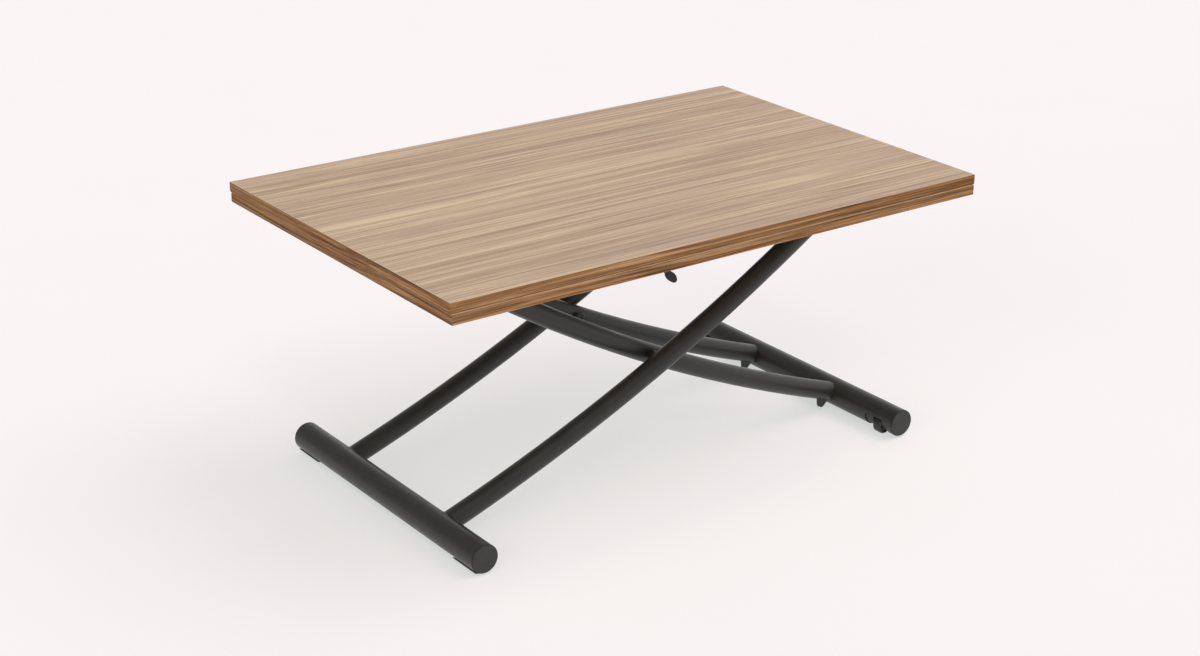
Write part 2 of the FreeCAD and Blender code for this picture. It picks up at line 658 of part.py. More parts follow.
def shoe(x, y):
    """Nylon shoe: a flange inside the rail and a neck up to the leaf."""
    run = about(y, SHOE_LENGTH)
    inside = RAIL_WIDTH - 2 * RAIL_WALL - 2 * SHOE_CLEARANCE
    low = RAIL_BOTTOM + RAIL_WALL + FIT
    high = RAIL_TOP - RAIL_WALL - SHOE_CLEARANCE
    flange = box(about(x, inside), run, (low, high))
    neck = box(about(x, RAIL_SLOT - 2 * SHOE_CLEARANCE), run, (high, UNDERSIDE))
    return flange.fuse(neck).removeSplitter()


def slide_shoes():
    places = [(end * RAIL_X, y) for end in ENDS for y in (SHOE_FRONT_Y, SHOE_REAR_Y)]
    return Part.makeCompound([shoe(x, y) for x, y in places])


REAR_EDGE = TOP_DEPTH / 2
HINGE_PLANE = REAR_EDGE + EDGE_GAP / 2
LOWER_X = TOP_LENGTH / 2 - END_SETBACK
LOWER_Y = (-TOP_DEPTH / 2, REAR_EDGE)
LOWER_Z = (UNDERSIDE, UNDERSIDE + LEAF_THICKNESS)
UPPER_X = TOP_LENGTH / 2
UPPER_Y = (-TOP_DEPTH / 2 + FRONT_SETBACK, REAR_EDGE)
UPPER_Z = (TOP_HEIGHT - LEAF_THICKNESS, TOP_HEIGHT)
HINGE_X = [HINGE_SPACING * (i - (HINGE_COUNT - 1) / 2) for i in range(HINGE_COUNT)]


def leaf(half, y, z):
    """Whole leaf with rounded upper and lower arrises and a chamfer on the arris at the hinges."""
    blank = box((-half, half), y, z)
    level = [edge for edge in blank.Edges if edge.BoundBox.ZLength < ARRIS_RADIUS]
    blank = blank.makeFillet(ARRIS_RADIUS, level)
    reach = HINGE_CHAMFER + EDGE_GAP
    corner = [(HINGE_PLANE - reach, SEAM_Z), (HINGE_PLANE, SEAM_Z - reach),
              (HINGE_PLANE + reach, SEAM_Z), (HINGE_PLANE, SEAM_Z + reach)]
    points = [V(-half, a, b) for a, b in corner]
    groove = Part.Face(Part.makePolygon(points + points[:1])).extrude(V(2 * half, 0, 0))
    return blank.cut(groove)


def lower_leaf():
    return leaf(LOWER_X, LOWER_Y, LOWER_Z)


def upper_leaf():
    return leaf(UPPER_X, UPPER_Y, UPPER_Z)


def core_box(half, y, z):
    """Space of a leaf's board, inside its edge bands."""
    inset = BAND_THICKNESS
    return box((-half + inset, half - inset), (y[0] + inset, y[1] - inset), z)


def mortise(x, up):
    """Space of a hinge block in the lower leaf, or with up of -1 in the upper leaf."""
    z = tuple(sorted((SEAM_Z, SEAM_Z - up * (HINGE_HEIGHT + LEAF_GAP / 2))))
    return box(about(x, HINGE_LENGTH), (REAR_EDGE - HINGE_DEPTH, REAR_EDGE), z)


def mortises(up):
    return [mortise(x, up) for x in HINGE_X]


def board(whole, half, y, z, up):
    return whole.common(core_box(half, y, z)).cut(mortises(up))


def edge_band(whole, half, y, z, up):
    """Four strips around a leaf: long ones over the full length, short ones between them."""
    inset = BAND_THICKNESS
    long_strips = [box((-half, half), run, z) for run in ((y[0], y[0] + inset), (y[1] - inset, y[1]))]
    between = (y[0] + inset, y[1] - inset)
    short_strips = [box(run, between, z) for run in ((-half, -half + inset), (half - inset, half))]
    strips = [whole.common(strip).cut(mortises(up)) for strip in long_strips + short_strips]
    return Part.makeCompound([solid for strip in strips for solid in strip.Solids])


def hinge_pin_z(up):
    return SEAM_Z - up * HINGE_PIN_INSET


def hinge_block(whole, x, up):
    """Hinge body in a leaf's edge, slotted for the link and bored for its pin."""
    body = whole.common(mortise(x, up))
    z = hinge_pin_z(up)
    pin_y = HINGE_PLANE - HINGE_PIN_INSET
    room = LINK_EYE_RADIUS + LINK_SIDE_GAP
    width = LINK_WIDTH + 2 * LINK_SIDE_GAP
    slot = box(about(x, width), (pin_y - room, HINGE_PLANE), (z - 2 * room, z + 2 * room))
    keep = tuple(sorted((z - up * room, z - up * 4 * room)))
    slot = slot.cut(box(about(x, HINGE_LENGTH), (0, HINGE_PLANE), keep))
    bore = rod_x(about(x, HINGE_PIN_LENGTH), pin_y, z, HINGE_PIN_RADIUS)
    return body.cut([slot, bore])


def hinge_blocks(whole, up):
    return Part.makeCompound([hinge_block(whole, x, up) for x in HINGE_X])


def hinge_pins(up):
    y = HINGE_PLANE - HINGE_PIN_INSET
    pins = [rod_x(about(x, HINGE_PIN_LENGTH), y, hinge_pin_z(up), HINGE_PIN_RADIUS) for x in HINGE_X]
    return Part.makeCompound(pins)


def hinge_link(x):
    """Link with an eye on the pin of each leaf."""
    y = HINGE_PLANE - HINGE_PIN_INSET
    width = about(x, LINK_WIDTH)
    low, high = hinge_pin_z(1), hinge_pin_z(-1)
    web = box(width, about(y, 2 * LINK_EYE_RADIUS), (low, high))
    link = web.fuse([rod_x(width, y, z, LINK_EYE_RADIUS) for z in (low, high)]).removeSplitter()
    return link.cut([rod_x(width, y, z, HINGE_PIN_RADIUS + FIT) for z in (low, high)])


def hinge_links():
    return Part.makeCompound([hinge_link(x) for x in HINGE_X])


LEVER_Y = about(LEVER_INSET - TOP_DEPTH / 2, LEVER_THICKNESS)
PADDLE_X = LEVER_X + PADDLE_REACH
PADDLE_Z = LEVER_Z - PADDLE_DROP


def lever_shaft():
    return rod_y(LEVER_X, (LEVER_Y[0], BEAM_OUTER_Y), LEVER_Z, LEVER_SHAFT_RADIUS)


def lever_paddle():
    """Flat handle on the front of the lever shaft: a hub, a neck and an oval, with bevelled edges."""
    oval = Part.Ellipse(V(0, 0, 0), PADDLE_LONG, PADDLE_SHORT).toShape()
    oval = Part.Face(Part.Wire(oval)).extrude(V(0, 0, LEVER_THICKNESS))
    oval.rotate(V(0, 0, 0), V(1, 0, 0), 90)
    oval.rotate(V(0, 0, 0), V(0, -1, 0), PADDLE_TILT)
    oval.translate(V(PADDLE_X, LEVER_Y[1], PADDLE_Z))
    neck = box((0, math.hypot(PADDLE_REACH, PADDLE_DROP)), LEVER_Y, about(0, PADDLE_NECK))
    neck.rotate(V(0, 0, 0), V(0, 1, 0), math.degrees(math.atan2(PADDLE_DROP, PADDLE_REACH)))
    neck.translate(V(LEVER_X, 0, LEVER_Z))
    hub = rod_y(LEVER_X, LEVER_Y, LEVER_Z, LEVER_HUB_RADIUS)
    handle = hub.fuse([neck, oval]).removeSplitter()
    outline = [edge for edge in handle.Edges if edge.BoundBox.YLength < FIT]
    handle = handle.makeChamfer(PADDLE_CHAMFER, outline)
    return handle.cut(rod_y(LEVER_X, LEVER_Y, LEVER_Z, LEVER_SHAFT_RADIUS))


def release_arm():
    """Arm on the lever shaft whose round nose pushes the release pin."""
    width = about(0, ARM_THICKNESS)
    hub = rod_y(LEVER_X, width, LEVER_Z, LEVER_HUB_RADIUS)
    arm = box(about(LEVER_X, ARM_WIDTH), width, (PIVOT_Z, LEVER_Z))
    nose = rod_y(LEVER_X, width, PIVOT_Z, NOSE_RADIUS)
    whole = hub.fuse([arm, nose]).removeSplitter()
    return whole.cut(rod_y(LEVER_X, width, LEVER_Z, LEVER_SHAFT_RADIUS))


def release_pin():
    tip = LEVER_X + NOSE_RADIUS + NOSE_GAP
    return rod_x((tip, ROD_LEFT + RELEASE_PIN_LENGTH - RELEASE_PIN_PROUD), 0, PIVOT_Z, RELEASE_PIN_RADIUS)


def lever_bearing():
    """Bearing block on a beam for the lever shaft."""
    block = box(about(LEVER_X, BEARING_LENGTH), (BEAM_INNER_Y, BEAM_OUTER_Y),
                (RAIL_BOTTOM, RAIL_TOP - BEARING_TOP_GAP))
    return block.cut(rod_y(LEVER_X, (0, BEAM_OUTER_Y), LEVER_Z, LEVER_SHAFT_RADIUS + FIT))


def save_base():
    save_shifted("fixed_bar", fixed_bar())
    save_shifted("fixed_bar_caps", bar_caps(-BAR_X))
    save_shifted("wheel_bar", wheel_bar())
    save_shifted("wheel_bar_caps", bar_caps(BAR_X))
    save_shifted("crossing_bosses", pair(cross_boss()))
    save_shifted("crossing_bolts", pair(cross_bolt()))
    save_shifted("crossing_sleeves", pair(cross_sleeve()))
    save_shifted("spigots", pair(spigot()))
    outer_eye = leg_eye(OUTER_LEG_Y)
    inner_eye = flipped_x(leg_eye(INNER_LEG_Y))
    for name, side in SIDES.items():
        save_shifted(f"glide_{name}", glide(side))
        save_shifted(f"outer_leg_{name}", outer_leg(side))
        save_shifted(f"inner_leg_{name}", inner_leg(side))
        save_shifted(f"outer_eye_{name}", outer_eye if side > 0 else flipped_y(outer_eye))
        save_shifted(f"inner_eye_{name}", inner_eye if side > 0 else flipped_y(inner_eye))
        save_shifted(f"lock_knob_{name}", lock_knob(side))
        save_shifted(f"wheel_holder_{name}", wheel_holder(side))
        save_shifted(f"wheel_{name}", wheel(side))
    save_shifted("wheel_axles", pair(wheel_rod(axle_span(WHEEL_Y), AXLE_RADIUS)))


def save_sub_frame():
    for name, side in SIDES.items():
        save_shifted(f"beam_{name}", beam(side))
    save_shifted("rail_left", rail(-RAIL_X))
    save_shifted("rail_right", rail(RAIL_X))
    save_shifted("rail_end_caps", rail_caps())
    save_shifted("end_tie", cross_tie(BEAM_X[1] - TIE_WIDTH))
    save_shifted("spring_tie", spring_tie())
    save_shifted("pivot_shaft", cross_shaft(-PIVOT_X, INNER_LEG_Y))
    save_shifted("pivot_blocks", pair(channel_block(-PIVOT_X, 0.0)))
    save_shifted("pivot_spacers", shaft_spacers(-PIVOT_X, INNER_LEG_Y, BEAM_OUTER_Y))
    save_shifted("pivot_clips", shaft_clips(-PIVOT_X, INNER_LEG_Y))
    save_shifted("gas_rod", gas_rod())
    save_shifted("gas_rod_nuts", rod_nuts())
    save_shifted("lever_bearings", pair(lever_bearing()))


def save_carriage():
    save_shifted("carriage_shaft", cross_shaft(PIVOT_X, OUTER_LEG_Y))
    save_shifted("carriage_blocks", pair(channel_block(PIVOT_X, SLIP)))
    save_shifted("carriage_spacers", shaft_spacers(PIVOT_X, OUTER_LEG_Y, BEAM_OUTER_Y - SLIP))
    save_shifted("carriage_clips", shaft_clips(PIVOT_X, OUTER_LEG_Y))
    save_shifted("gas_cylinder", gas_cylinder())
    save_shifted("gas_spring_eye", spring_eye())


def save_lever():
    save_shifted("lever_shaft", lever_shaft())
    save_shifted("lever_paddle", lever_paddle())
    save_shifted("release_arm", release_arm())
    save_shifted("release_pin", release_pin())


def save_top():
    lower = lower_leaf()
    upper = upper_leaf()
    save("lower_board", board(lower, LOWER_X, LOWER_Y, LOWER_Z, 1))
    save("lower_edge_band", edge_band(lower, LOWER_X, LOWER_Y, LOWER_Z, 1))
    save("lower_hinge_blocks", hinge_blocks(lower, 1))
    save("lower_hinge_pins", hinge_pins(1))
    save_shifted("slide_shoes", slide_shoes())
    save("hinge_links", hinge_links())
    save("upper_board", board(upper, UPPER_X, UPPER_Y, UPPER_Z, -1))
    save("upper_edge_band", edge_band(upper, UPPER_X, UPPER_Y, UPPER_Z, -1))
    save("upper_hinge_blocks", hinge_blocks(upper, -1))
    save("upper_hinge_pins", hinge_pins(-1))


os.makedirs("parts", exist_ok=True)
save_base()
save_sub_frame()
save_carriage()
save_lever()
save_top()
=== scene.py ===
"""Looks of the convertible coffee dining table: veneer, coat, small fasteners, light and camera."""
import json
import math

import bmesh
import bpy
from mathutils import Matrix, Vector


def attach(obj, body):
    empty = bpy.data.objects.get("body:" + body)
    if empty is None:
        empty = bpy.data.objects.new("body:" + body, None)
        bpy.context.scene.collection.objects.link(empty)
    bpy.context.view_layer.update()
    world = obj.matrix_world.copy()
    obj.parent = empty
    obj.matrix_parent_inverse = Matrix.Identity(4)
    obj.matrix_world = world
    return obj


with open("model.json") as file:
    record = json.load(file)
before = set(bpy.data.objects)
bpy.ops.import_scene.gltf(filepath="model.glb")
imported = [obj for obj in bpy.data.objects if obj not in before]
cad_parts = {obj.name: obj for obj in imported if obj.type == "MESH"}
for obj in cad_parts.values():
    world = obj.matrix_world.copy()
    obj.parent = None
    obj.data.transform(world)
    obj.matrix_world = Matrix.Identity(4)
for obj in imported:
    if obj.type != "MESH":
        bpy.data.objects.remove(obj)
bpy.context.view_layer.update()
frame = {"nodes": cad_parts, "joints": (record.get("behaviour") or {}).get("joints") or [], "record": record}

NODES = frame["nodes"]
JOINTS = {joint["name"]: joint for joint in frame["joints"]}
MM = 0.001
QUARTER_TURN = math.pi / 2
FULL_TURN = 2 * math.pi


def srgb(red, green, blue):
    """Scene-linear colour with full alpha from display values of 0 to 255."""
    def linear(value):
        value /= 255.0
        return value / 12.92 if value <= 0.04045 else ((value + 0.055) / 1.055) ** 2.4
    return (linear(red), linear(green), linear(blue), 1.0)


# Welds: hollow fillets where the legs meet the fixed bar, and straight beads on the sub-frame
LEG_FOOT_SLOPE = math.radians(18.42)
WELD_REACH = 3.2 * MM
WELD_SINK = 0.3 * MM
WELD_STEPS = 64
WELD_FAN = 5
BEAD_RADIUS = 1.6 * MM
BEAD_SIDES = 8
BEAD_PITCH = 1.4 * MM
BEAD_FEWEST = 6
BEAD_RIPPLE = 0.10
BEAD_END = 0.45
BEAD_TAPER = 4.0

# Cross-head screws of the hinge blocks, with painted shade in their cross recesses
SCREW_RADIUS = 3.4 * MM
SCREW_PROUD = 0.10 * MM
SCREW_BEVEL = 0.93
SCREW_FROM_HINGE = 17.5 * MM
SCREW_FROM_EDGE = 10.0 * MM
CROSS_REACH = 0.62 * SCREW_RADIUS
CROSS_WIDTH = 0.24 * SCREW_RADIUS
RECESS_RISE = 0.2 * SCREW_PROUD

# Buttons on the crossing bolts: shares of the radius with their rise, and a hexagon socket
BUTTON_DOME = ((0.0, 0.0), (1.0, 0.0), (0.94, 0.9 * MM), (0.72, 1.7 * MM))
BUTTON_SIDES = 36
SOCKET_CORNER = 3.6 * MM
SOCKET_RIM = 0.4 * MM
SOCKET_TOP = 2.0 * MM
SOCKET_EDGE = 1.7 * MM
SOCKET_FLOOR = 0.2 * MM
SOCKET_MIDDLE = 0.02 * MM

# Points that lie nearer than this become one
MERGE_GAP = MM / 10000

# Veneer noises: scales along the grain, across it and into the board
BANDS = (0.5, 15.0, 15.0)
STREAKS = (0.9, 95.0, 95.0)
FIBRES = (3.0, 300.0, 300.0)
THREADS = (26.0, 1500.0, 1500.0)
PALE_LINES = (0.45, 34.0, 34.0)
PALE_PATCHES = (2.2, 14.0, 14.0)
PALE_RIDGES = (0.55, 120.0, 120.0)
DEEP_LINES = (0.6, 27.0, 31.0)
DEEP_PATCHES = (1.8, 9.0, 9.0)
PORES = (55.0, 1900.0, 1900.0)

# The grain's sway across the board: scales of its noise, and its reach
SWAYS = (((1.1, 2.0, 2.0), 30 * MM), ((4.0, 9.0, 9.0), 4 * MM))

TOP_STOPS = ((0.12, srgb(154, 125, 103)), (0.32, srgb(175, 146, 120)), (0.50, srgb(188, 158, 132)),
             (0.68, srgb(201, 172, 145)), (0.88, srgb(216, 189, 161)))
EDGE_STOPS = ((0.12, srgb(86, 56, 30)), (0.32, srgb(115, 78, 45)), (0.50, srgb(137, 97, 59)),
              (0.68, srgb(157, 116, 76)), (0.88, srgb(182, 143, 104)))

# Camera: place in metres, turn in degrees, lens and sensor in millimetres
CAMERA_PLACE = (-2.16317, -2.87530, 1.68380)
CAMERA_TURN = (68.00045, -0.74624, -36.51581)
CAMERA_LENS = 64.975
CAMERA_SENSOR = 36.0
CAMERA_REACH = 60.0

# Floor, which glows a little so that shadows stay pale, and the backdrop past its edge
FLOOR_HALF = 14.0
FLOOR_STOPS = ((0.3, srgb(180, 163, 166)), (0.7, srgb(181, 164, 167)))
FLOOR_GLOW = srgb(192, 198, 196)
BACKDROP = srgb(251, 245, 245)

# Light from all round, and what a lit wall on the right adds to it low down. The wall comes in with
# the share of a direction that points right, and fades out with the share that points up.
ROUND_LIGHT = 0.41
ROUND_COLOUR = (1.0, 0.99, 0.985, 1.0)
WALL_LIGHT = 0.65
WALL_SIDE = (-0.2, 0.8)
WALL_TOP = (0.42, 0.66)

# Far lights: name, the side that they shine from, strength, spread in degrees
FAR_LIGHTS = (
    ("overhead", (0.49, -0.2, 0.85), 1.15, 44.0),
    ("front", (-0.30, -0.60, 0.74), 0.32, 14.0),
    ("side", (-0.88, -0.26, 0.40), 0.62, 30.0),
)


class Shader:
    """A node material around one Principled shader."""

    def __init__(self, name):
        self.material = bpy.data.materials.new(name)
        self.material.use_nodes = True
        self.nodes = self.material.node_tree.nodes
        self.links = self.material.node_tree.links
        self.nodes.clear()
        self.surface = self.nodes.new("ShaderNodeBsdfPrincipled")
        output = self.nodes.new("ShaderNodeOutputMaterial")
        self.links.new(self.surface.outputs["BSDF"], output.inputs["Surface"])

    def put(self, socket, value):
        """Set a socket to a constant, or link it to another node's output."""
        if isinstance(value, bpy.types.NodeSocket):
            self.links.new(value, socket)
        else:
            socket.default_value = value

    def set(self, **values):
        """Set inputs of the Principled shader, with _ for a space in their names."""
        for name, value in values.items():
            self.put(self.surface.inputs[name.replace("_", " ")], value)

    def add(self, kind, **settings):
        node = self.nodes.new(kind)
        for name, value in settings.items():
            setattr(node, name, value)
        return node

    def coordinates(self, output="Object"):
        return self.add("ShaderNodeTexCoord").outputs[output]

    def math(self, operation, first, second=0.0):
        node = self.add("ShaderNodeMath", operation=operation)
        self.put(node.inputs[0], first)
        self.put(node.inputs[1], second)
        return node.outputs[0]

    def around(self, value, weight):
        """A noise's distance from its middle value, times a weight."""
        return self.math("MULTIPLY", self.math("SUBTRACT", value, 0.5), weight)

    def blend(self, first, first_weight, second, second_weight):
        """Weighted sum of two values."""
        return self.math("ADD", self.math("MULTIPLY", first, first_weight),
                         self.math("MULTIPLY", second, second_weight))

    def split(self, vector):
        node = self.add("ShaderNodeSeparateXYZ")
        self.put(node.inputs[0], vector)
        return node.outputs

    def join(self, x, y, z):
        node = self.add("ShaderNodeCombineXYZ")
        for socket, value in zip(node.inputs, (x, y, z)):
            self.put(socket, value)
        return node.outputs[0]

    def scaled(self, vector, factors):
        node = self.add("ShaderNodeVectorMath", operation="MULTIPLY")
        self.put(node.inputs[0], vector)
        node.inputs[1].default_value = factors
        return node.outputs[0]

    def noise(self, vector, scale, detail, roughness=0.5):
        node = self.add("ShaderNodeTexNoise")
        self.put(node.inputs["Vector"], vector)
        node.inputs["Scale"].default_value = scale
        node.inputs["Detail"].default_value = detail
        node.inputs["Roughness"].default_value = roughness
        return node.outputs["Fac"]

    def drawn(self, vector, factors, detail=1.0, roughness=0.5):
        """Noise with a scale of its own on each axis."""
        return self.noise(self.scaled(vector, factors), 1.0, detail, roughness)

    def range(self, value, low, high, to_low=0.0, to_high=1.0):
        node = self.add("ShaderNodeMapRange")
        for index, number in enumerate((value, low, high, to_low, to_high)):
            self.put(node.inputs[index], number)
        return node.outputs[0]

    def ramp(self, value, stops):
        node = self.add("ShaderNodeValToRGB")
        self.put(node.inputs[0], value)
        elements = node.color_ramp.elements
        while len(elements) < len(stops):
            elements.new(1.0)
        for element, (place, colour) in zip(elements, stops):
            element.position = place
            element.color = colour
        return node.outputs["Color"]

    def mix(self, factor, first, second):
        node = self.add("ShaderNodeMix", data_type="RGBA", blend_type="MIX")
        self.put(node.inputs["Factor"], factor)
        self.put(node.inputs[6], first)
        self.put(node.inputs[7], second)
        return node.outputs[2]

    def tint(self, colour, towards, share, strength):
        """A colour drawn towards another one by a share and a strength."""
        return self.mix(self.math("MULTIPLY", share, strength), colour, towards)

    def bump(self, height, strength, distance):
        node = self.add("ShaderNodeBump")
        self.put(node.inputs["Height"], height)
        node.inputs["Strength"].default_value = strength
        node.inputs["Distance"].default_value = distance
        return node.outputs["Normal"]


def grain_vector(shader):
    """Coordinates with the grain along the first axis: along Y on the short edges, along X elsewhere."""
    x, y, z = shader.split(shader.coordinates())
    facing = shader.split(shader.coordinates("Normal"))[0]
    end = shader.math("GREATER_THAN", shader.math("ABSOLUTE", facing), 0.7)
    other = shader.math("SUBTRACT", 1.0, end)
    return shader.blend(x, other, y, end), shader.blend(y, other, x, end), z


def thin_lines(shader, value, width):
    """1 on the contour of a stretched noise at its middle value, falling to 0 within a small width."""
    away = shader.math("ABSOLUTE", shader.math("SUBTRACT", value, 0.5))
    return shader.range(away, 0.0, width, 1.0, 0.0)


def walnut(name, stops, pale, deep, rough, gloss, weights, ridges, painted_ledge_highlight=None):
    """Straight-grained veneer: bands, streaks, fibres, threads, pale and dark lines and open pores.

    The weights are those of bands, streaks, fibres and threads, and ridges is the strength of the narrow
    pale ridges. A painted highlight colour, if given, covers faces that lie flat: a bright line painted
    along the top of an edge band, where the ledge between the leaves lies in shade.
    """
    shader = Shader(name)
    along, across, depth = grain_vector(shader)
    start = shader.join(along, across, depth)
    slow, quick = (shader.around(shader.drawn(start, scales), reach) for scales, reach in SWAYS)
    sway = shader.math("ADD", slow, quick)
    grain = shader.join(along, shader.math("ADD", across, sway), shader.math("ADD", depth, sway))

    fibres = shader.drawn(grain, FIBRES, 3.0, 0.6)
    layers = (shader.drawn(grain, BANDS, 2.0), shader.drawn(grain, STREAKS, 3.0, 0.7), fibres,
              shader.drawn(grain, THREADS))
    tone = 0.5
    for layer, weight in zip(layers, weights):
        tone = shader.math("ADD", tone, shader.around(layer, weight))
    colour = shader.ramp(tone, stops)

    pale_lines = shader.math("MULTIPLY", thin_lines(shader, shader.drawn(grain, PALE_LINES), 0.030),
                             shader.range(shader.drawn(start, PALE_PATCHES), 0.42, 0.62))
    colour = shader.tint(colour, pale, pale_lines, 0.75)
    colour = shader.tint(colour, pale, shader.range(shader.drawn(grain, PALE_RIDGES), 0.58, 0.72), ridges)
    deep_lines = shader.math("MULTIPLY", thin_lines(shader, shader.drawn(grain, DEEP_LINES), 0.040),
                             shader.range(shader.drawn(start, DEEP_PATCHES), 0.45, 0.62))
    colour = shader.tint(colour, deep, deep_lines, 0.55)
    pores = shader.range(shader.drawn(grain, PORES), 0.60, 0.72)
    colour = shader.tint(colour, deep, pores, 0.20)

    # Painted highlight: faces that lie flat, up or down, take a light colour for the bright seam line on the
    # ledge
    if painted_ledge_highlight:
        highlight_facing = shader.math("ABSOLUTE", shader.split(shader.coordinates("Normal"))[2])
        colour = shader.mix(shader.range(highlight_facing, 0.55, 0.8), colour, painted_ledge_highlight)

    height = shader.math("SUBTRACT", shader.math("MULTIPLY", fibres, 0.6), pores)
    shader.set(Base_Color=colour, Roughness=shader.range(fibres, 0.3, 0.7, rough - 0.05, rough + 0.06),
               Normal=shader.bump(height, strength=0.22, distance=0.12 * MM), Specular_IOR_Level=gloss)
    return shader.material


def powder_coat(name, dark, light, rough, grain=1500.0, depth=0.10 * MM):
    """Matte powder coat: a fine orange-peel skin with a slow drift of tone."""
    shader = Shader(name)
    place = shader.coordinates()
    skin = shader.noise(place, scale=grain, detail=2.0, roughness=0.55)
    cloud = shader.noise(place, scale=26.0, detail=3.0, roughness=0.6)
    speck = shader.noise(place, scale=2900.0, detail=1.0)
    tone = shader.blend(cloud, 0.55, speck, 0.45)
    shader.set(Base_Color=shader.ramp(tone, ((0.35, dark), (0.65, light))),
               Roughness=shader.range(cloud, 0.35, 0.65, rough - 0.05, rough + 0.05),
               Normal=shader.bump(skin, strength=0.10, distance=depth), Specular_IOR_Level=0.38)
    return shader.material


def moulded(name, dark, light, rough, grain=700.0):
    """Moulded plastic or rubber with a fine spark-eroded grain and faint scuffs."""
    shader = Shader(name)
    place = shader.coordinates()
    leather = shader.noise(place, scale=grain, detail=3.0, roughness=0.6)
    cloud = shader.noise(place, scale=60.0, detail=2.0)
    scuffs = shader.range(shader.drawn(place, (900.0, 160.0, 420.0), 2.0), 0.62, 0.80)
    colour = shader.tint(shader.ramp(cloud, ((0.3, dark), (0.7, light))), light, scuffs, 0.35)
    shader.set(Base_Color=colour, Roughness=shader.range(leather, 0.3, 0.7, rough - 0.06, rough + 0.06),
               Normal=shader.bump(leather, strength=0.25, distance=0.08 * MM), Specular_IOR_Level=0.45)
    return shader.material


def plated(name, dark, light, rough, stretch=(300.0, 12.0, 300.0)):
    """Plated or drawn metal with fine lines along its length."""
    shader = Shader(name)
    place = shader.coordinates()
    lines = shader.noise(shader.scaled(place, stretch), scale=4.0, detail=3.0, roughness=0.6)
    cloud = shader.noise(place, scale=90.0, detail=2.0)
    tone = shader.blend(lines, 0.6, cloud, 0.4)
    shader.set(Base_Color=shader.ramp(tone, ((0.3, dark), (0.7, light))), Metallic=1.0,
               Roughness=shader.range(lines, 0.3, 0.7, rough - 0.07, rough + 0.09),
               Normal=shader.bump(lines, strength=0.10, distance=0.05 * MM))
    return shader.material


MATERIALS = {
    "walnut_board": walnut("walnut_board", TOP_STOPS, pale=srgb(224, 198, 160), deep=srgb(150, 127, 114),
                           rough=0.50, gloss=0.34, weights=(0.36, 1.50, 1.30, 0.40), ridges=0.70),
    # The edge banding's flat faces carry a painted highlight, a light colour for the seam line on the ledge
    "walnut_edge": walnut("walnut_edge", EDGE_STOPS, pale=srgb(198, 157, 114), deep=srgb(78, 50, 30),
                          rough=0.58, gloss=0.12, weights=(0.10, 0.85, 2.00, 0.50), ridges=0.12,
                          painted_ledge_highlight=srgb(212, 188, 164)),
    "dark_coat": powder_coat("dark_coat", srgb(41, 40, 38), srgb(49, 48, 46), 0.36),
    "cap_plastic": moulded("cap_plastic", srgb(44, 43, 41), srgb(52, 51, 49), 0.55),
    "black_plastic": moulded("black_plastic", srgb(5, 5, 5), srgb(10, 10, 10), 0.55),
    "glide_rubber": moulded("glide_rubber", srgb(42, 41, 40), srgb(52, 51, 49), 0.70, grain=500.0),
    "wheel_plastic": moulded("wheel_plastic", srgb(36, 36, 36), srgb(48, 47, 46), 0.50, grain=900.0),
    "nylon": moulded("nylon", srgb(50, 50, 51), srgb(64, 64, 64), 0.42, grain=1200.0),
    "plated_steel": plated("plated_steel", srgb(150, 150, 152), srgb(186, 186, 188), 0.34),
    "black_steel": powder_coat("black_steel", srgb(34, 34, 34), srgb(42, 42, 42), 0.42,
                               grain=2200.0, depth=0.03 * MM),
    "polished_rod": plated("polished_rod", srgb(196, 197, 200), srgb(222, 223, 226), 0.14,
                           stretch=(12.0, 500.0, 500.0)),
    "cylinder_coat": powder_coat("cylinder_coat", srgb(26, 26, 27), srgb(34, 34, 35), 0.32,
                                 grain=900.0, depth=0.04 * MM),
    "hinge_metal": plated("hinge_metal", srgb(140, 138, 134), srgb(172, 170, 165), 0.40,
                          stretch=(40.0, 300.0, 300.0)),
}

for part in frame["record"]["subparts"]:
    for slot in NODES[part["node"]].material_slots:
        slot.material = MATERIALS[part["material_slot"]]


def add_camera():
    """Camera at the photograph's place and angle."""
    data = bpy.data.cameras.new("camera")
    data.sensor_width = CAMERA_SENSOR
    data.lens = CAMERA_LENS
    data.clip_end = CAMERA_REACH
    camera = bpy.data.objects.new("camera", data)
    camera.location = CAMERA_PLACE
    camera.rotation_euler = [math.radians(angle) for angle in CAMERA_TURN]
    bpy.context.scene.collection.objects.link(camera)
    bpy.context.scene.camera = camera


def add_floor():
    """Plain pale floor with hardly any drift of tone."""
    shader = Shader("floor")
    haze = shader.noise(shader.coordinates(), scale=3.0, detail=2.0)
    shader.set(Base_Color=shader.ramp(haze, FLOOR_STOPS), Roughness=shader.range(haze, 0.3, 0.7, 0.92, 0.98),
               Specular_IOR_Level=0.0, Emission_Color=FLOOR_GLOW, Emission_Strength=1.0)
    mesh = bpy.data.meshes.new("floor")
    corners = [(x * FLOOR_HALF, y * FLOOR_HALF, 0) for x, y in ((-1, -1), (1, -1), (1, 1), (-1, 1))]
    mesh.from_pydata(corners, [], [(0, 1, 2, 3)])
    mesh.materials.append(shader.material)
    floor = bpy.data.objects.new("floor", mesh)
    bpy.context.scene.collection.objects.link(floor)


def add_far_light(name, side, energy, spread):
    """Even light from one side, as from a large screen far away."""
    data = bpy.data.lights.new(name, "SUN")
    data.energy = energy
    data.angle = math.radians(spread)
    light = bpy.data.objects.new(name, data)
    light.rotation_euler = Vector(side).to_track_quat("Z", "Y").to_euler()
    bpy.context.scene.collection.objects.link(light)


